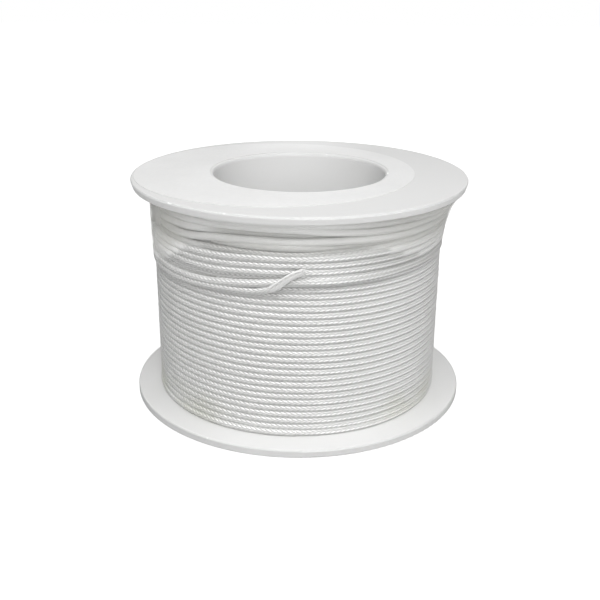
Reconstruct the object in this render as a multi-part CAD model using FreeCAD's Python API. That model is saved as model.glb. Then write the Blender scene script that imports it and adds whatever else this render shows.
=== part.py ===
import FreeCAD, Part
import math
import os
from FreeCAD import Vector

# String reel: a two-piece moulded spool with a wide bore, wound with braided cord.
# Millimetres. The bore's axis is +Z, and the origin is the centre of the bottom face.
# Angles go round +Z from +X, so the side that shows the cord's free end is at -90 degrees.

# ---- Spool ----
spool_height = 68.0
flange_diameter = 101.6
top_flange_inset = 0.9         # the top flange's edge lies this far inside the bottom one's
flange_rim_thickness = 2.4
rim_round = 0.5
top_rim_taper = 0.8            # the top rim's lower edge lies this far inside its upper edge
top_flange_drop = 0.5          # the top flange's rim lies this far below its hub face
top_drop_width = 15.9          # and the fall takes this much of the radius
top_drop_blend_radius = 60.0
bore_diameter = 50.8
bore_mouth_round = 1.0
barrel_wall = 2.6
barrel_root_round = 1.0

# ---- Joint between the two mouldings, halfway up the barrel ----
seam_gap = 0.1
spigot_length = 10.0
spigot_wall = 1.2
spigot_clearance = 0.1         # radial, between spigot and socket
spigot_end_clearance = 0.2
spigot_lead_round = 0.3
snap_ridge_height = 0.3
snap_ridge_width = 1.6
snap_ridge_from_end = 2.5
snap_groove_clearance = 0.1

# ---- Round label on the top flange ----
label_diameter = 83.0
label_offset_x = -7.4
label_offset_y = 0.4
label_thickness = 0.12
label_glue_gap = 0.02
label_hole_margin = 0.2        # bare ring between the bore's rounded mouth and the label

# ---- Cord and its winding ----
cord_diameter = 1.8
winding_inset = 8.5            # from the flange's edge in to the lower turns' centre line
winding_clearance = 0.25       # between one layer and the next, and to the flanges
turn_gap = 0.7                 # open space between neighbouring turns
upper_layer_depth = 19.15      # from the top flange down to where the lower turns begin
unevenness = 0.1               # the upper turns wander up and down by this much
wander_rate = 1.3              # waves in a turn
layer_change_angle = 90.0      # the lower turns start and end at the back
crossing_gap = 0.5             # between the free end and the turns that it crosses

# ---- Strip of tape that holds the cord's inner end on the barrel ----
tape_width = 18.0
tape_thickness = 0.2
tape_glue_gap = 0.05
tape_height_above_flange = 6.0
tape_angle = 110.0
tape_start_angle = 20.0

# ---- Band of clear film round the uppermost turns ----
film_thickness = 0.15
film_clearance = 0.3
film_depth = 7.9               # from the top flange down to the film's lower edge
film_neck_depth = 4.1          # and to where it begins to spread
film_neck_shift = 0.35
film_flare_inset = 1.2         # from the top flange's edge in to the film's top edge, on the +X side

# ---- Sizes that follow ----
flange_radius = flange_diameter / 2
top_flange_radius = flange_radius - top_flange_inset
bore_radius = bore_diameter / 2
barrel_radius = bore_radius + barrel_wall
top_rim_height = spool_height - top_flange_drop
top_flange_underside = top_rim_height - flange_rim_thickness
top_drop_starts_radius = top_flange_radius - top_drop_width
seam_height = spool_height / 2
spigot_radius = bore_radius + spigot_wall
spigot_end = seam_height + seam_gap - spigot_length
snap_height = spigot_end + snap_ridge_from_end
socket_radius = spigot_radius + spigot_clearance
socket_floor = spigot_end - spigot_end_clearance
cord_radius = cord_diameter / 2
turn_pitch = cord_diameter + turn_gap
lower_turns_radius = flange_radius - winding_inset
upper_turns_radius = lower_turns_radius + cord_diameter + winding_clearance
crossing_lift = cord_diameter + crossing_gap
lowest_turn_height = flange_rim_thickness + winding_clearance + cord_radius
lower_turns_top = top_flange_underside - upper_layer_depth
lower_turns_count = round((lower_turns_top - lowest_turn_height) / turn_pitch)
highest_turn_height = top_flange_underside - winding_clearance - cord_radius

up = Vector(0, 0, 1)


def save(shape, node):
    shape.exportStep(os.path.join("parts", node + ".step"))
    print(node, "solids", len(shape.Solids), "valid", shape.isValid(), "volume", round(shape.Volume, 1))


def rounded_wire(corners):
    """Closed outline through (radius, height, rounding) corners in the XZ plane."""
    points = [Vector(radius, 0, height) for radius, height, rounding in corners]
    starts = []
    ends = []
    middles = []
    for i, (radius, height, rounding) in enumerate(corners):
        corner = points[i]
        if rounding == 0:
            starts.append(corner)
            ends.append(corner)
            middles.append(None)
            continue
        back = (points[i - 1] - corner).normalize()
        ahead = (points[(i + 1) % len(points)] - corner).normalize()
        to_centre = (back + ahead).normalize()
        half_angle = back.getAngle(ahead) / 2
        reach = rounding / math.tan(half_angle)
        depth = rounding / math.sin(half_angle) - rounding
        starts.append(corner + back * reach)
        ends.append(corner + ahead * reach)
        middles.append(corner + to_centre * depth)
    edges = []
    for i in range(len(points)):
        if middles[i] is not None:
            edges.append(Part.Arc(starts[i], middles[i], ends[i]).toShape())
        edges.append(Part.makeLine(ends[i], starts[(i + 1) % len(points)]))
    return Part.Wire(edges)


def turned(corners, angle=360):
    """Solid of revolution round the bore's axis."""
    return Part.Face(rounded_wire(corners)).revolve(Vector(0, 0, 0), up, angle)


# ---- Spool mouldings ----
def snap_corners(radius, tip_radius, direction):
    """Triangular ring on a wall, followed upwards (direction 1) or downwards (-1)."""
    half = direction * snap_ridge_width / 2
    return [(radius, snap_height - half, 0), (tip_radius, snap_height, 0), (radius, snap_height + half, 0)]


def lower_flange():
    """Lower flange with its half of the barrel, which ends in a socket."""
    corners = [
        (bore_radius, 0, bore_mouth_round),
        (flange_radius, 0, rim_round),
        (flange_radius, flange_rim_thickness, rim_round),
        (barrel_radius, flange_rim_thickness, barrel_root_round),
        (barrel_radius, seam_height, 0),
        (socket_radius, seam_height, 0),
    ]
    corners += snap_corners(socket_radius, spigot_radius + snap_ridge_height + snap_groove_clearance, -1)
    corners += [
        (socket_radius, socket_floor, 0),
        (bore_radius, socket_floor, 0),
    ]
    return turned(corners)


def upper_flange():
    """Upper flange with its half of the barrel, which ends in a spigot."""
    corners = [
        (bore_radius, spool_height, bore_mouth_round),
        (bore_radius, spigot_end, 0),
        (spigot_radius, spigot_end, spigot_lead_round),
    ]
    corners += snap_corners(spigot_radius, spigot_radius + snap_ridge_height, 1)
    corners += [
        (spigot_radius, seam_height + seam_gap, 0),
        (barrel_radius, seam_height + seam_gap, 0),
        (barrel_radius, top_flange_underside, barrel_root_round),
        (top_flange_radius - top_rim_taper, top_flange_underside, rim_round),
        (top_flange_radius, top_rim_height, rim_round),
        (top_drop_starts_radius, spool_height, top_drop_blend_radius),
    ]
    return turned(corners)


# ---- Label, which follows the top flange's face ----
def top_face_height(radius):
    share = max(0, radius - top_drop_starts_radius) / top_drop_width
    return spool_height - top_flange_drop * share


def flange_label():
    inner = bore_radius + bore_mouth_round + label_hole_margin
    outer = top_flange_radius - rim_round
    radii = [inner, top_drop_starts_radius, outer]
    underside = [(r, top_face_height(r) + label_glue_gap, 0) for r in radii]
    top_side = [(r, height + label_thickness, 0) for r, height, rounding in reversed(underside)]
    centre = Vector(label_offset_x, label_offset_y, top_flange_underside)
    sticker = Part.makeCylinder(label_diameter / 2, spool_height, centre)
    return turned(underside + top_side).common(sticker)


# ---- Tape on the barrel, and the inner layers of cord as one plain ring ----
def start_tape():
    inner = barrel_radius + tape_glue_gap
    outer = inner + tape_thickness
    low = flange_rim_thickness + tape_height_above_flange
    high = low + tape_width
    strip = turned([(inner, low, 0), (outer, low, 0), (outer, high, 0), (inner, high, 0)], tape_angle)
    strip.rotate(Vector(0, 0, 0), up, tape_start_angle)
    return strip


def cord_core():
    inner = barrel_radius + tape_glue_gap + tape_thickness + winding_clearance
    lower_outer = lower_turns_radius - cord_radius - winding_clearance
    upper_outer = upper_turns_radius - cord_radius - winding_clearance
    low = flange_rim_thickness + winding_clearance
    shoulder = lower_turns_top + cord_radius + winding_clearance
    high = top_flange_underside - winding_clearance
    corners = [
        (inner, low, barrel_root_round),
        (lower_outer, low, 0),
        (lower_outer, shoulder, 0),
        (upper_outer, shoulder, 0),
        (upper_outer, high, 0),
        (inner, high, barrel_root_round),
    ]
    return turned(corners)


# ---- Turns of cord ----
def on_reel(angle, radius, height):
    turn = math.radians(angle)
    return Vector(radius * math.cos(turn), radius * math.sin(turn), height)


def arc_from(point, way, other):
    """Arc that leaves point along way and ends at other, with its radius."""
    chord = other - point
    across = chord - way * chord.dot(way)
    radius = chord.dot(chord) / (2 * across.Length)
    centre = point + across.normalize() * radius
    middle = centre + ((point - centre) + (other - centre)).normalize() * radius
    return Part.Arc(point, middle, other).toShape(), radius


def biarc(start, start_way, end, end_way):
    """Two arcs that leave start along start_way and reach end along end_way."""
    chord = end - start
    along = chord.dot(start_way + end_way)
    spread = 2 * (1 - start_way.dot(end_way))
    reach = (math.sqrt(along * along + spread * chord.dot(chord)) - along) / spread
    joint = (start + end + (start_way - end_way) * reach) * 0.5
    first, first_radius = arc_from(start, start_way, joint)
    second, second_radius = arc_from(end, end_way * -1, joint)
    return [first, second], [first_radius, second_radius]


def least_gap(path, first, last):
    """Smallest clear distance between the cord and itself, at least half a turn further on."""
    step = 7.5
    half_turn = int(180 / step)
    points = [path(first + step * i) for i in range(int((last - first) / step) + 1)]
    least = min(a.distanceToPoint(b) for i, a in enumerate(points) for b in points[i + half_turn:])
    return least - cord_diameter


def wound_tube(path, angles, name):
    """One unbroken tube along path(angle), with a straight run at each end."""
    nudge = 0.01

    def way(angle):
        return (path(angle + nudge) - path(angle - nudge)).normalize()

    first = path(angles[0])
    last = path(angles[-1])
    entry = first - way(angles[0]) * cord_diameter
    exit_point = last + way(angles[-1]) * cord_diameter
    edges = [Part.makeLine(entry, first)]
    radii = []
    for a, b in zip(angles, angles[1:]):
        arcs, arc_radii = biarc(path(a), way(a), path(b), way(b))
        edges += arcs
        radii += arc_radii
    edges.append(Part.makeLine(last, exit_point))
    spine = Part.Wire(edges)
    section = Part.Wire(Part.makeCircle(cord_radius, entry, way(angles[0])))
    tube = spine.makePipeShell([section], True, False)
    expected = math.pi * cord_radius ** 2 * spine.Length
    print(name, "turns", round((angles[-1] - angles[0]) / 360, 2), "length", round(spine.Length, 1))
    print(name, "least gap to itself", round(least_gap(path, angles[0], angles[-1]), 3))
    print(name, "tightest radius", round(min(radii), 2), "volume ratio", round(tube.Volume / expected, 4))
    return tube


def quarter_turns(first, last):
    count = round((last - first) / 90)
    return [first + (last - first) * i / count for i in range(count + 1)]


def lower_turns():
    """The full layer, wound downwards from the upper layer's edge to the bottom flange."""
    drawn_pitch = (lower_turns_top - lowest_turn_height) / lower_turns_count
    first = layer_change_angle - 360 * lower_turns_count

    def path(angle):
        return on_reel(angle, lower_turns_radius, lower_turns_top - drawn_pitch * (angle - first) / 360)

    return wound_tube(path, quarter_turns(first, layer_change_angle), "lower_turns")


# The last two upper turns sag on the left, and the free end climbs over its neighbours.
# Angle, height over the lower turns' top in turn pitches, and share of the lift for a crossing.
loose_end = [
    (-735, 2.18, 0.0),
    (-640, 1.54, 0.0),
    (-570, 0.62, 0.0),
    (-528, 0.18, 0.0),
    (-493, 0.18, 0.0),
    (-468, 0.62, 0.0),
    (-445, 1.14, 0.0),
    (-372, 1.18, 0.0),
    (-290, 0.46, 0.0),
    (-230, -0.42, 0.0),
    (-168, -0.82, 0.0),
    (-133, -0.86, 0.04),
    (-117, -0.74, 0.22),
    (-108, -0.34, 0.61),
    (-101, 0.5, 0.96),
    (-95, 1.54, 1.0),
    (-90, 2.34, 1.0),
]


def smooth_value(stations, column, angle):
    """Catmull-Rom curve through one column of the stations."""
    k = 0
    while k < len(stations) - 2 and angle > stations[k + 1][0]:
        k += 1
    a = stations[k]
    b = stations[k + 1]
    before = stations[max(k - 1, 0)]
    after = stations[min(k + 2, len(stations) - 1)]
    width = b[0] - a[0]
    rise_a = width * (b[column] - before[column]) / (b[0] - before[0])
    rise_b = width * (after[column] - a[column]) / (after[0] - a[0])
    t = (angle - a[0]) / width
    change = b[column] - a[column]
    bend = t * (1 - t)
    return a[column] + change * t * t * (3 - 2 * t) + bend * ((1 - t) * rise_a - t * rise_b)


def upper_turns():
    """The part-filled upper layer and the cord's free end, as one length of cord."""
    loose_from = loose_end[0][0]
    loose = [(angle, lower_turns_top + turn_pitch * rise, lift) for angle, rise, lift in loose_end]
    steady_depth = highest_turn_height - loose[0][1]
    steady_count = round(steady_depth / turn_pitch)
    first = loose_from - 360 * steady_count
    steady = [(first, highest_turn_height, 0.0)]
    for angle in quarter_turns(first, loose_from)[2:-1:2]:
        sink = steady_depth * (angle - first) / (loose_from - first)
        wander = unevenness * math.sin(math.radians(angle * wander_rate))
        steady.append((angle, highest_turn_height - sink + wander, 0.0))
    stations = steady + loose

    def path(angle):
        height = smooth_value(stations, 1, angle)
        lift = crossing_lift * smooth_value(stations, 2, angle)
        return on_reel(angle, upper_turns_radius + lift, height)

    angles = quarter_turns(first, loose_from) + [station[0] for station in loose[1:]]
    return wound_tube(path, angles, "upper_turns")


# ---- Film: rings whose centres shift towards +X, where it spreads to the rim ----
def clear_wrap():
    snug = upper_turns_radius + cord_radius + film_clearance
    top = top_flange_underside - film_clearance
    flare_shift = (top_flange_radius - film_flare_inset - snug) / 2
    levels = [
        (top_flange_underside - film_depth, 0.0),
        (top_flange_underside - film_neck_depth, film_neck_shift),
        (top, flare_shift),
    ]

    def skin(extra):
        rings = []
        for height, shift in levels:
            ring = Part.makeCircle(snug + shift + extra, Vector(shift, 0, height), up)
            rings.append(Part.Wire(ring))
        return Part.makeLoft(rings, True, False)

    return skin(film_thickness).cut(skin(0.0))


os.makedirs("parts", exist_ok=True)
save(lower_flange(), "lower_flange")
save(upper_flange(), "upper_flange")
save(flange_label(), "flange_label")
save(start_tape(), "start_tape")
save(cord_core(), "cord_core")
save(lower_turns(), "lower_turns")
save(upper_turns(), "upper_turns")
save(clear_wrap(), "clear_wrap")
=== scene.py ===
import math

import bpy
from mathutils import Matrix, Vector


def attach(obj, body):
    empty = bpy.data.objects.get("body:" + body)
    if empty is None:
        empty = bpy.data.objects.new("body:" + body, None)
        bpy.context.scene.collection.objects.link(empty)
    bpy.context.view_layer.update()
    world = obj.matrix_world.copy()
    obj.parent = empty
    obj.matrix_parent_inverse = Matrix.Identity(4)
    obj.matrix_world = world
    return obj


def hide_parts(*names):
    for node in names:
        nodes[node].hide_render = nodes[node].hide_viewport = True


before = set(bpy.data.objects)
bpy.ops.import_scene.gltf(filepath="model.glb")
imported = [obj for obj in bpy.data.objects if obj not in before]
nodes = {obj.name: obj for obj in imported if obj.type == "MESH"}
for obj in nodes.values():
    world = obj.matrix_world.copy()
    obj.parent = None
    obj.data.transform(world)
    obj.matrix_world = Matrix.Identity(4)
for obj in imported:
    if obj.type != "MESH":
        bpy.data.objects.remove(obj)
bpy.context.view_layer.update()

mm = 0.001
scene = bpy.context.scene


# small helpers for node trees, shader and geometry alike

def addNode(tree, kind, **settings):
    node = tree.nodes.new(kind)
    for name, value in settings.items():
        setattr(node, name, value)
    return node


def feed(socket, value):
    if isinstance(value, bpy.types.NodeSocket):
        socket.id_data.links.new(value, socket)
    else:
        socket.default_value = value


def feedAll(node, **values):
    # each value goes to the input of its name, where _ stands for a space
    for name, value in values.items():
        feed(node.inputs[name.replace("_", " ")], value)
    return node.outputs


def feedInOrder(node, *values):
    for socket, value in zip(node.inputs, values):
        feed(socket, value)
    return node.outputs[0]


def treeOf(*values):
    # the tree that the first socket among these values is in
    return next(value.id_data for value in values if isinstance(value, bpy.types.NodeSocket))


def useNode(kind, settings, **values):
    # a node beside the ones that feed it, known by its first output
    return feedAll(addNode(treeOf(*values.values()), kind, **settings), **values)[0]


def calc(operation, *values):
    return feedInOrder(addNode(treeOf(*values), "ShaderNodeMath", operation=operation), *values)


def folded(operation):
    # a function that takes any number of values, from left to right
    def fold(first, *others):
        for other in others:
            first = calc(operation, first, other)
        return first
    return fold


plus, minus, times, over = (folded(name) for name in ("ADD", "SUBTRACT", "MULTIPLY", "DIVIDE"))


def split(vector):
    return tuple(feedAll(addNode(vector.id_data, "ShaderNodeSeparateXYZ"), Vector=vector))


def join(x, y, z):
    return useNode("ShaderNodeCombineXYZ", {}, X=x, Y=y, Z=z)


def reach(x, y):
    # distance from the reel's axis
    return calc("SQRT", plus(times(x, x), times(y, y)))


def spread(value, low, high, newLow=0.0, newHigh=1.0, smooth=False):
    # a value from low to high becomes one from newLow to newHigh, held at the ends
    way = "SMOOTHSTEP" if smooth else "LINEAR"
    node = addNode(value.id_data, "ShaderNodeMapRange", interpolation_type=way)
    return feedInOrder(node, value, low, high, newLow, newHigh)


def between(share, low, high):
    return spread(share, 0.0, 1.0, low, high)


def noise(place, scale, detail=3.0, roughness=0.5):
    return useNode("ShaderNodeTexNoise", {"noise_dimensions": "3D"}, Vector=place, Scale=scale,
                   Detail=detail, Roughness=roughness)


def tone(value, dark, light):
    # a colour between two, by a value from 0 to 1
    node = addNode(value.id_data, "ShaderNodeMix", data_type="RGBA")
    feed(node.inputs[0], value)
    feed(node.inputs[6], (*dark, 1))
    feed(node.inputs[7], (*light, 1))
    return node.outputs[2]


def mottled(value, dark, light):
    # the same, by a noise
    return tone(spread(value, 0.35, 0.65), dark, light)


def scaled(vector, share):
    # a vector made longer or shorter, or a colour made darker
    node = addNode(vector.id_data, "ShaderNodeVectorMath", operation="SCALE")
    feed(node.inputs[0], vector)
    return feedAll(node, Scale=share)[0]


def tinted(colour, tint):
    return feedInOrder(addNode(colour.id_data, "ShaderNodeVectorMath", operation="MULTIPLY"), colour, tint)


socketKinds = {int: "Int", float: "Float", tuple: "Vector", bpy.types.Material: "Material"}


def newTree(name, kind, inputs, outputs):
    # each socket has either the name of its kind, or the value that it starts from
    tree = bpy.data.node_groups.new(name, kind)
    for way, sockets in (("INPUT", inputs), ("OUTPUT", outputs)):
        for label, start in sockets.items():
            socketKind = start if isinstance(start, str) else socketKinds[type(start)]
            socket = tree.interface.new_socket(label, in_out=way, socket_type="NodeSocket" + socketKind)
            if start is not socketKind:
                socket.default_value = start
    return tree, addNode(tree, "NodeGroupInput").outputs, addNode(tree, "NodeGroupOutput")


def newFinish(name):
    # a material, its tree and shader, and the place on the object
    material = bpy.data.materials.new(name)
    material.use_nodes = True
    tree = material.node_tree
    place = addNode(tree, "ShaderNodeTexCoord").outputs["Object"]
    return material, tree, tree.nodes["Principled BSDF"], place


def facing(tree):
    return addNode(tree, "ShaderNodeNewGeometry").outputs["Normal"]


def addBump(shader, height, strength, distance):
    bump = useNode("ShaderNodeBump", {}, Height=height, Strength=strength, Distance=distance)
    feedAll(shader, Normal=bump)


def addObject(name, data):
    made = bpy.data.objects.new(name, data)
    scene.collection.objects.link(made)
    return made


# camera and stage

cameraPlan = {
    "distance": 279.8 * mm,      # from the aim point to the lens
    "elevation": 21.06,          # degrees above level
    "aimHeight": 26.68 * mm,
    "roll": 0.395,               # degrees
    "lens": 53.37,
    "sensorWidth": 36.0,
    "shiftX": 0.0025,
    "nearest": 0.01,             # nothing closer than this is drawn
}

stagePlan = {
    "skyStrength": 0.17,
    "floorColor": (0.50, 0.50, 0.50),
    "floorSeen": (0.46, 0.46, 0.46),   # the camera sees this and a glow that lifts it to white
    "floorRoughness": 0.9,
    "floorGlow": 0.76,
    "farGlow": 0.96,
    "glowGrows": (0.12, 0.9),          # metres from the reel's axis
    "floorHalf": 1.6,
    "floorHeight": -0.05 * mm,
    "lampAim": (0, 0, 0.03),
}

# each lamp's place, power and size
softboxes = {
    "KeySoftbox": ((0.02, -0.46, 0.56), 1.15, 0.16),
    "KeyLeftSoftbox": ((-0.36, -0.38, 0.54), 0.3, 0.16),
    "KeyRightSoftbox": ((0.56, -0.42, 0.05), 0.25, 0.10),
    "HighSoftbox": ((0.0, -0.28, 0.80), 2.6, 0.60),
    "TopSoftbox": ((0.0, 0.0, 0.90), 0.15, 0.50),
    "FrontSoftbox": ((0.0, -0.85, 0.30), 2.6, 0.80),
    "LeftSoftbox": ((-0.60, -0.25, 0.45), 0.75, 0.60),
    "RightSoftbox": ((0.60, -0.25, 0.45), 1.4, 0.60),
    "BackSoftbox": ((0.0, 0.72, 0.06), 1.3, 0.11),
}


def setCamera(plan):
    tilt = math.radians(plan["elevation"])
    data = bpy.data.cameras.new("ReelCamera")
    data.lens = plan["lens"]
    data.sensor_width = plan["sensorWidth"]
    data.shift_x = plan["shiftX"]
    data.clip_start = plan["nearest"]
    camera = addObject("ReelCamera", data)
    aim = Vector((0, 0, plan["aimHeight"]))
    camera.location = aim + plan["distance"] * Vector((0, -math.cos(tilt), math.sin(tilt)))
    turn = Matrix.Rotation(math.pi / 2 - tilt, 3, "X") @ Matrix.Rotation(math.radians(plan["roll"]), 3, "Z")
    camera.rotation_euler = turn.to_euler()
    scene.camera = camera


def addSoftbox(name, place, power, size, aim):
    data = bpy.data.lights.new(name, "AREA")
    data.shape = "DISK"
    data.size = size
    data.energy = power
    lamp = addObject(name, data)
    lamp.location = place
    lamp.rotation_euler = (Vector(aim) - Vector(place)).to_track_quat("-Z", "Y").to_euler()


def addSky(plan):
    # white to the camera, and much dimmer as a light
    world = bpy.data.worlds.new("StudioWhite")
    world.use_nodes = True
    tree = world.node_tree
    tree.nodes.clear()
    ray = addNode(tree, "ShaderNodeLightPath").outputs
    seen = calc("MAXIMUM", ray["Is Camera Ray"], ray["Is Transmission Ray"])
    strength = between(seen, plan["skyStrength"], 1.0)
    sky = useNode("ShaderNodeBackground", {}, Color=(1, 1, 1, 1), Strength=strength)
    feedAll(addNode(tree, "ShaderNodeOutputWorld"), Surface=sky)
    scene.world = world


def addFloor(plan):
    paper, tree, shader, place = newFinish("StudioFloor")
    seen = addNode(tree, "ShaderNodeLightPath").outputs["Is Camera Ray"]
    x, y = split(place)[:2]
    grown = spread(reach(x, y), *plan["glowGrows"], plan["floorGlow"] / plan["farGlow"], 1.0)
    feedAll(shader, Roughness=plan["floorRoughness"], Emission_Strength=1.0,
            Base_Color=tone(seen, plan["floorColor"], plan["floorSeen"]),
            Emission_Color=tone(times(seen, grown), (0, 0, 0), (plan["farGlow"],) * 3))
    half = plan["floorHalf"]
    corners = [(-half, -half, 0), (half, -half, 0), (half, half, 0), (-half, half, 0)]
    mesh = bpy.data.meshes.new("StudioFloor")
    mesh.from_pydata(corners, [], [(0, 1, 2, 3)])
    mesh.materials.append(paper)
    floor = addObject("StudioFloor", mesh)
    floor.location.z = plan["floorHeight"]


scene.view_settings.view_transform = "Standard"
setCamera(cameraPlan)
for name, box in softboxes.items():
    addSoftbox(name, *box, stagePlan["lampAim"])
addSky(stagePlan)
addFloor(stagePlan)
print("camera and stage set")


# the braid: one rule for its relief, used by the cord's mesh and by its finish

braidSizes = {
    "Columns": 8.0,              # rows of facets round the cord
    "Bead Length": 1.45 * mm,    # from one facet to the next along the cord
    "Slant": 0.95,               # how far a facet leans over its own row
}

braid = {
    "turned": 17.0,              # degrees that the braid is turned upwards on the winding
    "beadHeight": 0.13 * mm,
    "rowFullness": 0.7,          # the lower, the squarer a row is across
    "rowDepth": 0.75,            # how far a facet falls away to its row's edges
    "threadScale": (16.0, 2.0),  # how fine the threads of a facet are, along and across it
    "threadHeight": 0.08,
}


def halfWave(value):
    # 1 at 0, and nothing from a half outwards
    return calc("MAXIMUM", calc("COSINE", times(value, math.pi)), 0.0)


def braidRelief(place, given):
    # place holds the cosine and sine round the cord, and the distance along it
    cosine, sine, along = split(place)
    roundShare = over(calc("ARCTAN2", sine, cosine), 2 * math.pi)
    row = times(plus(roundShare, 1.0 + braid["turned"] / 360), given["Columns"])
    rowIndex = calc("FLOOR", row)
    across = minus(row, rowIndex, 0.5)
    odd = calc("FLOORED_MODULO", rowIndex, 2.0)
    way = minus(1.0, times(odd, 2.0))
    step = plus(over(along, given["Bead Length"]), times(across, way, given["Slant"]), times(odd, 0.5))
    within = minus(calc("FRACT", step), 0.5)
    edge = calc("POWER", halfWave(across), braid["rowFullness"])
    edge = plus(times(edge, braid["rowDepth"]), 1.0 - braid["rowDepth"])
    height = times(halfWave(within), edge)
    return height, across, within, calc("FLOOR", step), rowIndex


# shared effects

def makeBraidWeave():
    tree, given, out = newTree("BraidWeave", "ShaderNodeTree",
                               {"Place": "Vector", **braidSizes},
                               {"Height": "Float", "Fibres": "Float", "Bead Tint": "Float"})
    height, across, within, beadIndex, rowIndex = braidRelief(given["Place"], given)
    alongScale, acrossScale = braid["threadScale"]
    facet = plus(beadIndex, times(rowIndex, 3.7))    # so that no two rows have the same threads
    threads = noise(join(times(within, alongScale), times(across, acrossScale), facet), 1.0, 2.0)
    bead = join(beadIndex, rowIndex, 0.5)
    tint = useNode("ShaderNodeTexWhiteNoise", {"noise_dimensions": "3D"}, Vector=bead)
    height = plus(height, times(threads, braid["threadHeight"]))
    feedAll(out, Height=height, Fibres=threads, Bead_Tint=tint)
    return tree


scuffPlan = {
    "crossScale": 9.0,           # streaks are fine from one to the next,
    "roundScale": 0.02,          # and long round the reel
    "streaks": (0.62, 0.74),     # where in the noise they lie
    "patchScale": 40.0,
    "patches": (0.45, 0.65),
    "marks": (0.66, 0.74),
    "cloudScale": 22.0,
}


def makeScuffs(plan):
    # faint rubbed streaks that run round the reel, small marks, and a slow cloudiness
    tree, given, out = newTree("Scuffs", "ShaderNodeTree",
                               {"Place": "Vector", "Streak Scale": 60.0, "Mark Scale": 300.0,
                                "Amount": 0.5},
                               {"Streaks": "Float", "Marks": "Float", "Cloud": "Float"})
    place = given["Place"]
    x, y, z = split(place)
    cross = plan["crossScale"]
    turned = times(calc("ARCTAN2", y, x), plan["roundScale"])
    ringPlace = join(times(reach(x, y), cross), turned, times(z, cross))
    fine = spread(noise(ringPlace, given["Streak Scale"], 4.0, 0.6), *plan["streaks"])
    patch = spread(noise(place, plan["patchScale"], 2.0), *plan["patches"])
    spots = spread(noise(place, given["Mark Scale"], 5.0, 0.65), *plan["marks"])
    feedAll(out, Streaks=times(fine, patch, given["Amount"]), Marks=times(spots, given["Amount"]),
            Cloud=noise(place, plan["cloudScale"], 3.0))
    return tree


braidWeave = makeBraidWeave()
scuffs = makeScuffs(scuffPlan)


def glossy(value, look):
    # roughness between the look's two, by a noise
    return spread(value, 0.3, 0.7, *look["roughness"])


def useGroup(group, **values):
    return feedAll(addNode(treeOf(*values.values()), "ShaderNodeGroup", node_tree=group), **values)


def readColumn(tree, name):
    return addNode(tree, "ShaderNodeAttribute", attribute_type="GEOMETRY", attribute_name=name).outputs


# finishes

cordFinish = {
    # the braid's highlight and shade are painted into its colour: light on lit facet crowns, hollow between
    # the facets
    "light": (0.97, 0.97, 0.965),
    "hollow": (0.58, 0.58, 0.57),
    "crown": (0.25, 0.90),              # from a facet's hollow up to its crown
    "litRow": (-0.15, 1.15),            # painted shade between the facets and painted highlight on them, in the row that is lit
    "litRowHeight": (-0.12, -0.36),     # where that row lies, as the sine round the cord
    "lineRow": (0.35, 1.20),            # painted shade and highlight in the thin bright line to the right
    "farLineRow": (0.75, 1.10),         # and far to the right
    "lineHeight": 0.05,
    "lineWidth": (0.36, 0.14),
    "plainRow": (0.0, 0.25),            # painted shade in the other row
    "leftFade": (-36 * mm, -18 * mm),   # these four are places along x: where the lit row comes up,
    "rightward": (-3 * mm, 10 * mm),    # gives way to the line,
    "lineFar": (16 * mm, 32 * mm),      # and the line takes on its far shade
    "lineFade": (24 * mm, 40 * mm),     # and fades
    "faded": 0.35,                      # what is left of a row where it has faded
    "groove": (0.55, 0.9),
    "grooveShade": 0.35,                # painted light that lifts the shade down beside the neighbouring turns
    "tintRange": (0.85, 1.0),
    "pressed": 0.90,                    # the even shade of cord that the film presses smooth
    "pressedRelief": 0.15,
    "lowSideColour": (0.88, 0.885, 0.83),       # a darker, yellower tint over the lowest turns at either side
    "lowSideHeight": (14 * mm, 6 * mm),
    "lowSideReach": (14 * mm, 32 * mm),
    "lowSideScale": 90.0,
    "dullingAndShade": (0.42, 0.42, 0.405),      # painted shade where turns lie deeper or in shadow, and the loose end's duller fibres, keep this share of the colour
    "roughness": (0.26, 0.34),
    "sheen": 0.10,
    "sheenRoughness": 0.4,
    "refraction": 1.6,
    "bump": (1.0, 0.13 * mm),
}


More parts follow.
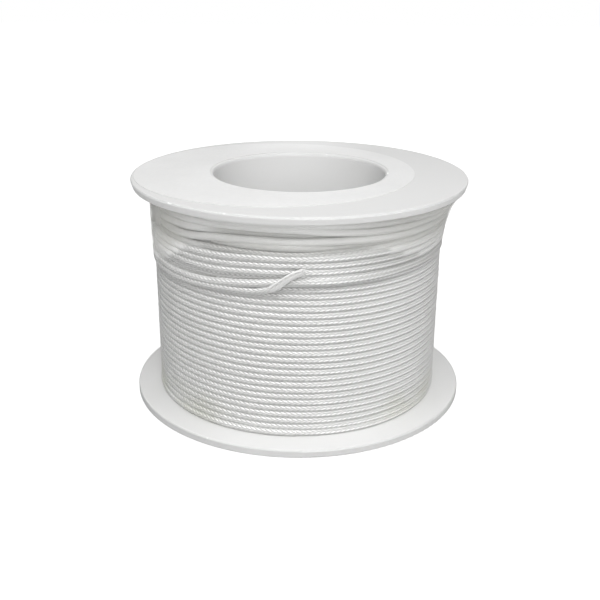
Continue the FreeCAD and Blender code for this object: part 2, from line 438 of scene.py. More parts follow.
def makeCordFinish(look):
    material, tree, shader, place = newFinish("BraidedCord")
    white = (1.0, 1.0, 1.0)
    ringPlace = readColumn(tree, "ringPlace")["Vector"]
    sine = split(ringPlace)[1]
    x, y, z = split(place)
    weave = useGroup(braidWeave, Place=ringPlace, **braidSizes)
    crown = spread(weave["Height"], *look["crown"], smooth=True)

    # rows lean in turn to either side; their light is painted: lit row high on a turn, a bright line low on
    # it to the right
    right = spread(x, *look["rightward"], smooth=True)
    high = spread(sine, *look["litRowHeight"], smooth=True)
    lit = times(high, minus(1.0, right), spread(x, *look["leftFade"], look["faded"], 1.0))
    line = spread(calc("ABSOLUTE", minus(sine, look["lineHeight"])), *look["lineWidth"], smooth=True)
    lined = times(line, right, spread(x, *look["lineFade"], 1.0, look["faded"]))
    plain = minus(1.0, lit, lined)
    dark, light = (spread(x, *look["lineFar"], near, far)
                   for near, far in zip(look["lineRow"], look["farLineRow"]))
    # painted light: the cord is lighter down in the grooves, which lie in shade
    groove = spread(calc("ABSOLUTE", sine), *look["groove"], 0.0, look["grooveShade"])
    shade = plus(times(between(crown, *look["litRow"]), lit), times(between(crown, dark, light), lined),
                 times(between(crown, *look["plainRow"]), plain), groove)
    shade = times(shade, between(weave["Bead Tint"], *look["tintRange"]))

    bare = readColumn(tree, "bare")["Fac"]
    shade = plus(times(between(shade, 0.0, 1.0), bare), times(minus(1.0, bare), look["pressed"]))
    lowSideTint = times(spread(z, *look["lowSideHeight"], smooth=True),
                    spread(calc("ABSOLUTE", x), *look["lowSideReach"], smooth=True),
                    spread(noise(place, look["lowSideScale"], 2.0), 0.35, 0.60))
    colour = tinted(tone(shade, look["hollow"], look["light"]), tone(lowSideTint, white, look["lowSideColour"]))
    # painted shade on deep, tucked and right-hand turns, and the loose end's duller tone
    colour = tinted(colour, tone(readColumn(tree, "dullingAndShade")["Fac"], white, look["dullingAndShade"]))
    feedAll(shader, Base_Color=colour, Roughness=glossy(weave["Fibres"], look), IOR=look["refraction"],
            Sheen_Weight=look["sheen"], Sheen_Roughness=look["sheenRoughness"])
    addBump(shader, times(weave["Height"], between(bare, look["pressedRelief"], 1.0)), *look["bump"])
    return material


spoolFinish = {
    "clean": (0.80, 0.80, 0.795),
    "worn": (0.70, 0.70, 0.69),
    "roughness": (0.58, 0.70),
    "specular": 0.35,
    "roundedEdge": 0.84,         # painted shade: how much darker the rounded edges are, toning down their highlight
    "topFace": 0.96,             # painted shade: the same for the bare face on top
    "lowRim": 0.81,              # painted shade: and for the rim that stands next to the floor, in the floor's shade
    "lowRimHeight": (3.2 * mm, 2.4 * mm),
    "topHeight": (30 * mm, 40 * mm),
    "chipped": 1.12,             # small bright chips along the edges
    "chipScale": 340.0,
    "markScale": 420.0,
    "wear": 0.7,
    "markDirt": 0.5,
    "cloudDirt": 0.18,
    "streakShade": 0.06,
    "streakRoughness": 0.25,
    "pitScale": 2600.0,
    "pitShare": 0.35,
    "bump": (0.35, 0.05 * mm),
}


def makeSpoolFinish(look):
    material, tree, shader, place = newFinish("WhiteMouldedPlastic")
    z = split(place)[2]
    nz = split(facing(tree))[2]
    wear = useGroup(scuffs, Place=place, Mark_Scale=look["markScale"], Amount=look["wear"])
    cloud = spread(wear["Cloud"], 0.35, 0.65, 0.0, look["cloudDirt"])
    dirt = calc("MINIMUM", plus(times(wear["Marks"], look["markDirt"]), cloud), 1.0)
    # where the surface rounds over, between upright and level: painted shade on these edges, and chips
    # along them
    roundedEdgeShare = times(spread(nz, 0.10, 0.40), spread(nz, 0.98, 0.80))
    chips = times(spread(noise(place, look["chipScale"], 2.0), 0.66, 0.70), roundedEdgeShare,
                  look["chipped"] - look["roundedEdge"])
    # painted shade on the level face on top, and on the rim next to the floor
    onTop = times(spread(nz, 0.90, 0.99), spread(z, *look["topHeight"]))
    atFloor = times(spread(calc("ABSOLUTE", nz), 0.4, 0.1), spread(z, *look["lowRimHeight"]))
    share = plus(between(roundedEdgeShare, 1.0, look["roundedEdge"]), chips)
    share = times(share, between(onTop, 1.0, look["topFace"]), between(atFloor, 1.0, look["lowRim"]))
    share = minus(share, times(wear["Streaks"], look["streakShade"]))
    plastic = scaled(tone(dirt, look["clean"], look["worn"]), share)
    roughness = plus(glossy(wear["Cloud"], look), times(wear["Streaks"], look["streakRoughness"]))
    feedAll(shader, Base_Color=plastic, Roughness=roughness, Specular_IOR_Level=look["specular"])
    pits = times(noise(place, look["pitScale"], 2.0), look["pitShare"])
    addBump(shader, minus(pits, wear["Streaks"]), *look["bump"])
    return material


labelFinish = {
    "paper": (0.87, 0.87, 0.865),
    "shade": (0.81, 0.81, 0.805),
    "cutEdge": 0.85,             # painted shade: how much darker the paper's upright cut edge is
    "fibreScale": 900.0,
    "mottleScale": 60.0,
    "roughness": (0.52, 0.70),
    "bump": (0.3, 0.03 * mm),
}


def makeLabelFinish(look):
    material, tree, shader, place = newFinish("BlankLabelPaper")
    fibres = noise(place, look["fibreScale"], 5.0, 0.65)
    mottle = noise(place, look["mottleScale"], 3.0)
    cloudy = plus(times(fibres, 0.5), times(mottle, 0.5))
    paper = mottled(cloudy, look["shade"], look["paper"])
    # painted shade on the label's upright edges
    cut = spread(split(facing(tree))[2], 0.3, 0.8, look["cutEdge"], 1.0)
    feedAll(shader, Base_Color=scaled(paper, cut), Roughness=glossy(fibres, look))
    addBump(shader, fibres, *look["bump"])
    return material


tapeFinish = {
    "shade": (0.72, 0.69, 0.60),
    "paper": (0.82, 0.80, 0.72),
    "crepeScale": 420.0,
    "crepeStretch": 4.0,         # the crinkles stand upright
    "roughness": (0.55, 0.75),
    "bump": (0.5, 0.06 * mm),
}


def makeTapeFinish(look):
    # crinkled paper tape under the winding
    material, tree, shader, place = newFinish("StartTapePaper")
    x, y, z = split(place)
    crinkled = join(times(x, look["crepeStretch"]), times(y, look["crepeStretch"]), z)
    crepe = noise(crinkled, look["crepeScale"], 3.0)
    feedAll(shader, Base_Color=mottled(crepe, look["shade"], look["paper"]), Roughness=glossy(crepe, look))
    addBump(shader, crepe, *look["bump"])
    return material


filmFinish = {
    "dull": (0.80, 0.795, 0.735),
    "pale": (0.92, 0.92, 0.89),
    "clearest": 0.03,
    "haziest": 0.85,
    "pullScale": 160.0,
    "pullStretch": 0.16,         # the pull lines stand nearly upright on the film
    "cloudScale": 55.0,
    "roughness": (0.26, 0.44),
    "bump": (0.30, 0.12 * mm),
}


def makeFilmFinish(look):
    material, tree, shader, place = newFinish("ClearWrapFilm")
    x, y, z = split(place)
    pull = noise(join(x, y, times(z, look["pullStretch"])), look["pullScale"], 3.0, 0.55)
    cloudy = plus(times(pull, 0.5), times(noise(place, look["cloudScale"], 3.0), 0.5))
    hazy = times(readColumn(tree, "haze")["Fac"], spread(cloudy, 0.35, 0.65, 0.85, 1.15))
    feedAll(shader, Base_Color=mottled(cloudy, look["dull"], look["pale"]), Roughness=glossy(pull, look),
            Alpha=between(hazy, look["clearest"], look["haziest"]))
    addBump(shader, pull, *look["bump"])
    return material


cordMaterial = makeCordFinish(cordFinish)
filmMaterial = makeFilmFinish(filmFinish)
spoolMaterial = makeSpoolFinish(spoolFinish)
nodeFinishes = {
    "upper_flange": spoolMaterial,
    "lower_flange": spoolMaterial,
    "flange_label": makeLabelFinish(labelFinish),
    "start_tape": makeTapeFinish(tapeFinish),
}


for name, material in nodeFinishes.items():
    slots = nodes[name].data.materials
    if not slots:
        slots.append(material)
    for slotPlace in range(len(slots)):
        slots[slotPlace] = material
print("spool, label and tape finished")


# the cord as a mesh

tubeSizes = {
    "Cord Diameter": 1.92 * mm,
    "Sides": 16,
    "Outward Crowding": 0.42,    # more points on the outward half, where the braid is seen
    **braidSizes,
    "Bead Height": braid["beadHeight"],
    "Bead Base": 0.6,            # the part of a facet's height that lies inside the cord's diameter
    "Finish": cordMaterial,
}
endFlatness = 0.55               # how flat a loose end is pressed, as a share of the cord
lineColumns = ("bare", "swell", "dullingAndShade", "flat")


def readNumber(tree, name, kind="FLOAT"):
    return feedAll(addNode(tree, "GeometryNodeInputNamedAttribute", data_type=kind), Name=name)[0]


def keepNumber(geometry, name, value, kind="FLOAT"):
    settings = {"data_type": kind}
    return useNode("GeometryNodeStoreNamedAttribute", settings, Geometry=geometry, Name=name, Value=value)


def move(geometry, **place):
    return useNode("GeometryNodeSetPosition", {}, Geometry=geometry, **place)


def asFinished(geometry, finish):
    real = useNode("GeometryNodeRealizeInstances", {}, Geometry=geometry)
    return useNode("GeometryNodeSetMaterial", {}, Geometry=real, Material=finish)


def makeBraidedTube():
    # any path becomes a braided cord: a ring of points swept along it, raised at each facet
    tree, given, out = newTree("BraidedTube", "GeometryNodeTree", {"Path": "Geometry", **tubeSizes},
                               {"Cord": "Geometry"})
    spline = addNode(tree, "GeometryNodeSplineParameter").outputs
    path = useNode("GeometryNodeSetCurveNormal", {"mode": "Z_UP"}, Curve=given["Path"])
    path = keepNumber(path, "along", spline["Length"])

    sides = given["Sides"]
    ring = useNode("GeometryNodeCurvePrimitiveCircle", {"mode": "RADIUS"}, Resolution=sides, Radius=1.0)
    turn = times(spline["Factor"], 2 * math.pi)
    turn = minus(turn, times(calc("SINE", turn), given["Outward Crowding"]))
    half = times(given["Cord Diameter"], 0.5)
    ringPoint = join(times(calc("COSINE", turn), half), times(calc("SINE", turn), half), 0.0)
    ring = move(ring, Position=ringPoint)
    # the ring's own place is read back as its direction, since the first point stays at 0
    px, py = split(addNode(tree, "GeometryNodeInputPosition").outputs[0])[:2]
    ring = keepNumber(ring, "ringSide", join(over(px, half), over(py, half), 0.0), "FLOAT_VECTOR")
    tube = useNode("GeometryNodeCurveToMesh", {}, Curve=path, Scale=readNumber(tree, "swell"),
                   Profile_Curve=ring, Fill_Caps=True)

    sx, sy = split(readNumber(tree, "ringSide", "FLOAT_VECTOR"))[:2]
    ringPlace = join(sx, sy, readNumber(tree, "along"))
    tube = keepNumber(tube, "ringPlace", ringPlace, "FLOAT_VECTOR")
    height = braidRelief(ringPlace, given)[0]
    lift = times(minus(height, given["Bead Base"]), given["Bead Height"], readNumber(tree, "bare"))
    tube = move(tube, Offset=scaled(addNode(tree, "GeometryNodeInputNormal").outputs[0], lift))

    # a loose end is pressed flat towards the reel
    away = feedInOrder(addNode(tree, "ShaderNodeVectorMath", operation="NORMALIZE"), join(px, py, 0.0))
    pressed = times(sx, half, times(readNumber(tree, "flat"), -endFlatness))
    tube = move(tube, Offset=scaled(away, pressed))
    tube = useNode("GeometryNodeSetShadeSmooth", {}, Geometry=tube)
    feedAll(out, Cord=asFinished(tube, given["Finish"]))
    return tree


braidedTube = makeBraidedTube()


def passTube(given, path):
    sizes = {name: given[name] for name in tubeSizes}
    tube = useNode("GeometryNodeGroup", {"node_tree": braidedTube}, Path=path, **sizes)
    return asFinished(tube, given["Finish"])


def wander(cosine, sine, level, aroundScale, levelScale, detail):
    # a slow drift to either side of 0, round the reel and from turn to turn
    place = join(times(cosine, aroundScale), times(sine, aroundScale), times(level, levelScale))
    return minus(noise(place, 1.0, detail), 0.5)


def fadeOver(value, reachOfFade):
    # 1 at 0, falling away
    return calc("EXPONENT", over(value, times(reachOfFade, -1.0)))


levelWinding = {
    "Cord Diameter": 2.0 * mm,
    "Radius": 42.2 * mm,
    "Centre X": -0.35 * mm,
    "Pitch": 1.83 * mm,
    "First Height": 3.18 * mm,
    "First Slack": 0.35 * mm,
    "Slack Turns": 1.5,          # how many turns it takes the slack to come in
    "Floor Height": 3.42 * mm,
    "Floor Softness": 0.4 * mm,
    "Tuck": -0.3 * mm,
    "Tuck Turns": 1.1,
    "Unevenness": 0.32 * mm,
    "Jitter": 0.10 * mm,
    "Ring Spacing": 0.34 * mm,
}


def makeLevelWinding():
    # close turns that fall to the bottom flange, counted upwards from the lowest one
    tree, given, out = newTree("LevelWinding", "GeometryNodeTree",
                               {"Geometry": "Geometry", "Top Turn": 24.0, "Bottom Turn": 0.0, **tubeSizes,
                                **levelWinding}, {"Winding": "Geometry"})
    factor = addNode(tree, "GeometryNodeSplineParameter").outputs["Factor"]
    turns = minus(given["Top Turn"], given["Bottom Turn"])
    length = times(turns, given["Radius"], 2 * math.pi)
    line = addNode(tree, "GeometryNodeCurvePrimitiveLine").outputs[0]
    count = over(length, given["Ring Spacing"])
    rings = useNode("GeometryNodeResampleCurve", {"mode": "COUNT"}, Curve=line, Count=count)

    level = minus(given["Top Turn"], times(factor, turns))
    angle = times(plus(times(level, -1.0), -0.25), 2 * math.pi)
    cosine = calc("COSINE", angle)
    sine = calc("SINE", angle)
    slack = times(minus(1.0, fadeOver(level, given["Slack Turns"])), given["First Slack"])
    # a wander shared by neighbouring turns, and a little of each turn's own
    shared = wander(cosine, sine, level, 1.1, 0.16, 1.0)
    own = wander(cosine, sine, level, 1.6, 2.1, 0.0)
    drift = plus(times(shared, given["Unevenness"]), times(own, given["Jitter"]))
    height = plus(given["First Height"], times(level, given["Pitch"]), slack, drift)
    height = calc("SMOOTH_MAX", height, given["Floor Height"], given["Floor Softness"])
    tuck = times(given["Tuck"], fadeOver(plus(level, 1.0), given["Tuck Turns"]))
    bulge = wander(sine, cosine, level, 0.9, 0.6, 1.0)
    radius = plus(minus(given["Radius"], tuck), times(bulge, given["Unevenness"]))
    x = plus(times(cosine, radius), given["Centre X"])
    path = move(rings, Position=join(x, times(sine, radius), height))
    for name in ("bare", "swell"):
        path = keepNumber(path, name, 1.0)
    feedAll(out, Winding=passTube(given, path))
    return tree


def makeLaidCord():
    # a cord laid along a line of points
    tree, given, out = newTree("LaidCord", "GeometryNodeTree",
                               {"Line": "Geometry", "Ring Spacing": 0.32 * mm, **tubeSizes},
                               {"Cord": "Geometry"})
    curve = feedInOrder(addNode(tree, "GeometryNodeMeshToCurve"), given["Line"])
    spacing = given["Ring Spacing"]
    rings = useNode("GeometryNodeResampleCurve", {"mode": "LENGTH"}, Curve=curve, Length=spacing)
    feedAll(out, Cord=passTube(given, rings))
    return tree


def addColumn(mesh, name, values, kind="FLOAT", field="value"):
    column = mesh.attributes.new(name, kind, "POINT")
    for item, value in zip(column.data, values):
        setattr(item, field, value)


def runTree(name, tree, sizes, line=([(0, 0, 0)], [1.0], [1.0], [0.0], [0.0])):
    # the tree's result as a plain mesh object at the origin
    points, *columns = line
    mesh = bpy.data.meshes.new(name + "Line")
    mesh.from_pydata(points, [(i, i + 1) for i in range(len(points) - 1)], [])
    for label, values in zip(lineColumns, columns):
        addColumn(mesh, label, values)
    holder = addObject(name + "Line", mesh)
    modifier = holder.modifiers.new("Build", "NODES")
    modifier.node_group = tree
    for item in tree.interface.items_tree:
        if item.in_out == "INPUT" and item.name in sizes:
            modifier[item.identifier] = sizes[item.name]
    made = bpy.data.meshes.new_from_object(holder.evaluated_get(bpy.context.evaluated_depsgraph_get()))
    bpy.data.objects.remove(holder)
    return addObject(name, made)


levelTree = makeLevelWinding()
cordTree = makeLaidCord()
windingSizes = {**tubeSizes, **levelWinding}
windingSplits = [-1.0, 4.2, 9.2, 14.2, 19.2, 24.2]    # level at which one piece ends and the next begins
coveredWinding = {
    "Bottom Turn": windingSplits[-1],
    "Top Turn": 33.0,
    "Radius": 41.6 * mm,
    "Ring Spacing": 0.6 * mm,
    "Sides": 12,
}

cordPieces = []
for i, (bottom, top) in enumerate(zip(windingSplits, windingSplits[1:])):
    sizes = {**windingSizes, "Bottom Turn": bottom, "Top Turn": top}
    cordPieces.append(runTree("lowerWinding%d" % (i + 1), levelTree, sizes))
cordPieces.append(runTree("coveredWinding", levelTree, {**windingSizes, **coveredWinding}))
print("lower winding laid,", sum(len(p.data.polygons) for p in cordPieces), "faces")


# the uneven upper layer and the loose end

upperLayer = {
    "radius": 43.62 * mm,
    "centreX": -0.05 * mm,
    "inset": 0.45 * mm,          # the film pulls the turns in on the left by this much,
    "insetFromFront": (125, 160),    # over these degrees as one goes round by the front
    "insetFromBack": (120, 150),     # and by the back
    "step": 1.5,                 # degrees between the line's points
    "ringSpacing": 0.32 * mm,
    "cuts": (0, 3, 6, 10),       # the turns at which one piece ends and the next begins
    "cutAngle": -170.0,          # and the place round the reel
    "filmPressed": 0.88,         # how much of its braid a turn loses under the film
    "filmBlend": 0.4,            # mm to either side of the film's edge, over which it does
    "rightShade": 0.38,          # painted shade on the turns to the right, beyond the bright front
    "rightFrom": (-85, -50),     # degrees over which that comes up
    "farRightFrom": (-40, -15),  # and over which it goes back
    "farRightLess": 0.6,         # by this share
    "tuckedShade": 0.65,         # painted shade on a cord once it is tucked under its neighbours
    "tuckedDepth": (0.3, 1.2),   # and how deep in mm that is
    "tuckedSwell": 1.15,
    "looseFrom": 15.0,           # degrees before its end at which the cord starts to hang loose and flat
    "looseBy": 7.0,              # and at which it is fully so
    "looseSmooth": 0.60,         # how much of its braid the loose end has lost
    "looseShade": 0.20,          # how dull the loose end looks
}

# a row of (angle, height, stand-out) in degrees and mm for each turn, top to bottom; all but the first
# start with a point at the back
upperTurns = [
    [(-170, 64.1, 0), (-140, 64.12, 0), (-105, 64.0, 0), (-90, 63.85, 0), (-75, 63.4, 0.1),
     (-60, 63.0, 0.3), (-45, 63.0, 1.0), (-20, 63.0, 2.15)],
    [(-270, 63.52, 0.1), (-165, 62.4, 0), (-140, 62.15, 0), (-120, 62.5, 0), (-105, 62.65, 0),
     (-90, 62.4, 0), (-80, 61.75, 0), (-65, 61.0, 0.1), (-50, 60.9, 0.4), (-35, 61.15, 0.8),
     (-20, 61.2, 1.2)],
    [(-270, 61.42, 0), (-165, 58.7, 0), (-140, 57.65, 0), (-133, 57.75, 0), (-127, 58.2, 0),
     (-120, 58.85, 0), (-105, 59.35, 0), (-90, 59.2, 0), (-80, 59.3, 0), (-65, 59.05, 0),
     (-50, 58.85, 0.1), (-20, 59.15, 0.3)],
    [(-270, 59.42, -0.1), (-165, 56.6, -0.3), (-140, 55.6, -0.4), (-120, 55.7, -0.3),
     (-105, 55.8, -0.3), (-90, 55.7, -0.3), (-75, 56.0, -0.5), (-60, 56.2, -0.7), (-45, 56.5, -0.7),
     (-20, 57.32, -0.1)],
    [(-270, 57.52, 0), (-165, 54.4, 0), (-140, 53.8, 0), (-120, 54.0, 0.05), (-105, 54.55, 0.1),
     (-90, 54.55, 0.1), (-75, 54.75, 0.05), (-60, 54.9, 0), (-45, 54.95, -0.15), (-20, 55.3, -0.5)],
    [(-270, 55.62, -0.3), (-165, 52.5, 0), (-140, 51.85, 0), (-120, 52.1, 0), (-105, 52.65, 0),
     (-90, 52.75, 0), (-75, 52.85, 0), (-60, 53.0, 0), (-45, 53.15, -0.2), (-20, 53.5, -0.7)],
    [(-270, 53.72, -0.4), (-165, 50.65, 0), (-140, 50.05, 0), (-120, 50.15, 0), (-105, 50.8, 0),
     (-90, 50.95, 0), (-75, 51.1, 0), (-60, 51.25, 0), (-45, 51.35, -0.35), (-20, 51.7, -0.95)],
    [(-270, 51.82, -0.5), (-165, 49.0, -0.1), (-140, 48.5, -0.5), (-125, 48.3, -0.9),
     (-115, 48.5, -1.1), (-105, 49.05, -1.1), (-97, 49.3, -0.9), (-84, 49.45, -0.25), (-60, 49.55, -0.25),
     (-45, 49.6, -0.7), (-20, 49.9, -1.2)],
    [(-270, 49.92, -0.6), (-165, 46.1, 0), (-140, 45.94, 0), (-125, 46.16, 0), (-118, 46.64, 0.1),
     (-105, 47.63, 0.3), (-98, 48.16, 0.3), (-90, 48.4, 0.25), (-75, 48.4, 0.1), (-60, 48.55, -0.1),
     (-45, 48.8, -0.5), (-20, 48.42, -1.3)],
    [(-270, 47.62, -0.7), (-165, 44.3, 0), (-150, 44.06, 0), (-135, 44.4, 0), (-122, 44.9, 0),
     (-113, 45.15, 0), (-106.2, 45.35, 0.1), (-104.5, 45.5, 0.2), (-101.3, 46.05, 0.5),
     (-99.4, 46.5, 0.9), (-98.2, 46.95, 1.25), (-96.6, 47.85, 1.6), (-95, 48.95, 1.85),
     (-93.5, 49.95, 1.95), (-92.3, 50.6, 1.95), (-90.4, 51.35, 1.95), (-88.6, 51.9, 1.95)],
]

# how much thicker than the plain cord each of these turns lies, slack or flattened
turnSwell = [1.08, 1.05, 1.1, 1.05, 1.12, 1.04, 1.08, 1.0, 1.08, 1.0]

# and how much painted shade each one gets where it lies in shadow, from 0 to 1
turnShade = [0.0, 0.0, 0.32, 0.58, 0.0, 0.0, 0.0, 0.0, 0.0, 0.0]

# where the wrap film's lower edge lies, as (angle, height in mm)
filmEdge = [(-190, 46.6), (-165, 45.1), (-150, 47.4), (-140, 51.0), (-131, 54.8), (-118, 55.9),
            (-100, 55.8), (-88, 55.8), (-74, 56.2), (-62, 56.0), (-54, 54.0), (-46, 52), (-36, 50.9),
            (-15, 50.3), (40, 50.1), (90, 49.3), (140, 48.1), (170, 46.6)]


def fromBehind(angle):
    # the same place round the reel, as an angle that starts where filmEdge does
    start = filmEdge[0][0]
    return (angle - start) % 360.0 + start


def smoothAlong(points, place):
    # a smooth line through points whose first number grows, with no overshoot at the ends
    last = len(points) - 1
    i = 0
    while i < last - 1 and points[i + 1][0] < place:
        i += 1
    a, b = points[i], points[i + 1]
    span = b[0] - a[0]
    t = min(max((place - a[0]) / span, 0.0), 1.0)
    before, after = points[max(i - 1, 0)], points[min(i + 2, last)]
    result = []
    for k in range(1, len(a)):
        leaveSlope = (b[k] - before[k]) / (b[0] - before[0]) * span
        enterSlope = (after[k] - a[k]) / (after[0] - a[0]) * span
        result.append((2 * t ** 3 - 3 * t ** 2 + 1) * a[k] + (t ** 3 - 2 * t ** 2 + t) * leaveSlope
                      + (3 * t ** 2 - 2 * t ** 3) * b[k] + (t ** 3 - t ** 2) * enterSlope)
    return result


def easeBetween(value, low, high):
    share = min(max((value - low) / (high - low), 0.0), 1.0)
    return share * share * (3 - 2 * share)


def layerRadius(angle, plan):
    # pulled in on the left, where the film is tight
    seenAngle = fromBehind(angle)
    inward = easeBetween(-seenAngle, *plan["insetFromFront"])
    inward += easeBetween(seenAngle, *plan["insetFromBack"])
    return plan["radius"] - plan["inset"] * inward


def edgeHeight(angle):
    whole = filmEdge + [(filmEdge[0][0] + 360.0, filmEdge[0][1])]
    return smoothAlong(whole, fromBehind(angle))[0]


def bareShare(angle, height, plan):
    # 1 for open braid, and little where the film presses it smooth
    edge = edgeHeight(angle)
    under = easeBetween(height, edge - plan["filmBlend"], edge + plan["filmBlend"])
    return 1.0 - plan["filmPressed"] * under


def anglesAlong(first, end, step):
    count = int((end - first) / step)
    return [first + (end - first) * i / count for i in range(count + 1)]


def strandLine(points, plan):
    # points of (angle, height, stand-out, swell, painted shade and dulling, flatness) become places and the
    # line's columns
    places = []
    columns = tuple([] for name in lineColumns)
    for angle in anglesAlong(points[0][0], points[-1][0], plan["step"]):
        height, out, swell, dullingAndShade, flat = smoothAlong(points, angle)
        radius = layerRadius(angle, plan) + out * mm
        turn = math.radians(angle)
        places.append((plan["centreX"] + radius * math.cos(turn), radius * math.sin(turn), height * mm))
        openShare = bareShare(angle, height, plan) * (1.0 - plan["looseSmooth"] * flat)
        for column, value in zip(columns, (openShare, swell, dullingAndShade, flat)):
            column.append(value)
    return places, *columns


def rightPaintedShade(angle, plan):
    # painted shade that comes up to the right, and eases off again far to the right
    seenAngle = fromBehind(angle)
    dull = plan["rightShade"] * easeBetween(seenAngle, *plan["rightFrom"])
    return dull * (1.0 - plan["farRightLess"] * easeBetween(seenAngle, *plan["farRightFrom"]))


def addUpperLayer(plan):
    whole = [(angle + 360.0 * k, height, out, turnSwell[k], turnShade[k])
             for k, turn in enumerate(upperTurns) for angle, height, out in turn]
    end = whole[-1][0]
    cuts = [plan["cutAngle"] + 360.0 * cut for cut in plan["cuts"]]
    cuts[0], cuts[-1] = whole[0][0], end
    pieces = []
    for n, (low, high) in enumerate(zip(cuts, cuts[1:])):
        points = []
        for angle in anglesAlong(low, high, plan["step"]):
            height, out, swell, dullingAndShade = smoothAlong(whole, angle)
            flat = easeBetween(angle, end - plan["looseFrom"], end - plan["looseBy"])
            # painted shade on shaded turns and to the right, and the loose end's duller tone
            dullingAndShade = max(dullingAndShade, plan["looseShade"] * flat, rightPaintedShade(angle, plan))
            points.append((angle, height, out, swell, dullingAndShade, flat))
        pieces.append(runTree("upperWinding%d" % (n + 1), cordTree, layerSizes, strandLine(points, plan)))
    return pieces


# short stretches that come up from the layer beneath and go under again, and how much painted shade each
# one gets
tuckedStretches = {
    "tuckedCordHigh": (0.1, [
        (-172, 60.2, -1.3), (-160, 60.0, -0.4), (-148, 60.05, -0.1), (-136, 60.1, -0.1),
        (-126, 60.5, -0.5), (-116, 60.9, -1.0), (-104, 61.1, -1.1), (-90, 60.9, -1.2), (-78, 60.6, -1.6)]),
    "tuckedCordLow": (0.65, [
        (-122, 57.7, -1.2), (-114, 57.85, -0.6), (-105, 57.85, -0.15), (-95, 57.75, -0.1),
        (-88, 57.65, -0.2), (-81, 57.65, -0.7), (-74, 57.75, -1.15), (-62, 57.7, -1.25),
        (-48, 57.4, -1.25), (-34, 57.4, -1.3), (-22, 57.5, -1.9)]),
    "tuckedCordLeft": (0.3, [
        (-225, 48.6, -1.6), (-205, 48.0, -0.9), (-185, 47.65, -0.6), (-165, 47.55, -0.55),
        (-150, 47.3, -0.6), (-138, 47.15, -0.8), (-126, 47.3, -1.1), (-116, 47.7, -1.6)]),
}


def addTuckedCord(name, stretchShade, points, plan):
    whole = []
    for angle, height, out in points:
        # painted shade that deepens as the cord tucks further in
        under = plan["tuckedShade"] * easeBetween(-out, *plan["tuckedDepth"])
        whole.append((angle, height, out, plan["tuckedSwell"], max(stretchShade, under), 0.0))
    return runTree(name, cordTree, layerSizes, strandLine(whole, plan))


# one pulled fibre lies along the upper edge of the loose end and stands up at its tip
pulledFibre = {
    "points": [(-99.4, 47.4, 1.6), (-97.8, 48.4, 2.1), (-96.2, 49.45, 2.35), (-93.5, 51.05, 2.55),
               (-91.9, 51.75, 2.6), (-90.4, 52.25, 2.6), (-88.9, 52.6, 2.6), (-88.35, 53.0, 2.65),
               (-88.3, 53.4, 2.7), (-88.4, 53.95, 2.8)],
    "step": 0.25,
    "sizes": {"Cord Diameter": 0.50 * mm, "Sides": 8, "Bead Height": 0.0, "Ring Spacing": 0.2 * mm},
}


def addPulledFibre(plan):
    line = strandLine([(*point, 1.0, 0.0, 1.0) for point in plan["points"]],
                      {**upperLayer, "step": plan["step"], "looseSmooth": 1.0})
    return runTree("pulledFibre", cordTree, {**tubeSizes, **plan["sizes"]}, line)


frayedTip = {
    "Tip": (0.95 * mm, -45.55 * mm, 51.2 * mm),
    "Tip Width": 1.5 * mm,
    "Fibres": 9,
    "Fibre Length": 1.2 * mm,
    "Fibre Width": 0.14 * mm,
    "Spread": 0.7,
    "Shortest": 0.4,             # as a share of the length
    "Longest": 1.2,
    "Seed": 4,
    "Finish": cordMaterial,
}


def makeFrayedTip():
    # a few short fibres that stand out of a cut end
    tree, given, out = newTree("FrayedTip", "GeometryNodeTree", {"Geometry": "Geometry", **frayedTip},
                               {"Tuft": "Geometry"})
    apart = join(0.0, 0.0, over(given["Tip Width"], given["Fibres"]))
    roots = useNode("GeometryNodeMeshLine", {}, Count=given["Fibres"], Start_Location=given["Tip"],
                    Offset=apart)
    # a hair 1 long that turns up at its tip
    hair = feedAll(addNode(tree, "GeometryNodeCurveQuadraticBezier"), Resolution=5, Start=(0, 0, 0),
                   Middle=(0.5, -0.1, 0.05), End=(1.0, -0.15, 0.35))[0]
    hair = useNode("GeometryNodeTransform", {}, Geometry=hair, Scale=join(*[given["Fibre Length"]] * 3))
    ring = useNode("GeometryNodeCurvePrimitiveCircle", {"mode": "RADIUS"}, Resolution=5,
                   Radius=times(given["Fibre Width"], 0.5))
    solid = useNode("GeometryNodeCurveToMesh", {}, Curve=hair, Profile_Curve=ring, Fill_Caps=True)
    turn = addNode(tree, "FunctionNodeRandomValue", data_type="FLOAT_VECTOR")
    feed(turn.inputs["Seed"], given["Seed"])
    # the least and the most that a hair turns about each axis
    for socket, shares in zip(turn.inputs, ((-1.0, -1.3, -0.5), (1.0, 1.0, 0.3))):
        feed(socket, join(*(times(given["Spread"], share) for share in shares)))
    size = addNode(tree, "FunctionNodeRandomValue", data_type="FLOAT")
    feed(size.inputs["Seed"], plus(given["Seed"], 1))
    feed(size.inputs[2], given["Shortest"])
    feed(size.inputs[3], given["Longest"])
    placed = useNode("GeometryNodeInstanceOnPoints", {}, Points=roots, Instance=solid,
                     Rotation=turn.outputs[0], Scale=size.outputs[1])
    feedAll(out, Tuft=asFinished(placed, given["Finish"]))
    return tree


layerSizes = {**tubeSizes, "Ring Spacing": upperLayer["ringSpacing"]}
upperPieces = addUpperLayer(upperLayer)
for name, (stretchShade, points) in tuckedStretches.items():
    upperPieces.append(addTuckedCord(name, stretchShade, points, upperLayer))
upperPieces.append(addPulledFibre(pulledFibre))
upperPieces.append(runTree("frayedTip", makeFrayedTip(), frayedTip))
print("upper layer and loose end laid,", sum(len(p.data.polygons) for p in upperPieces), "faces")


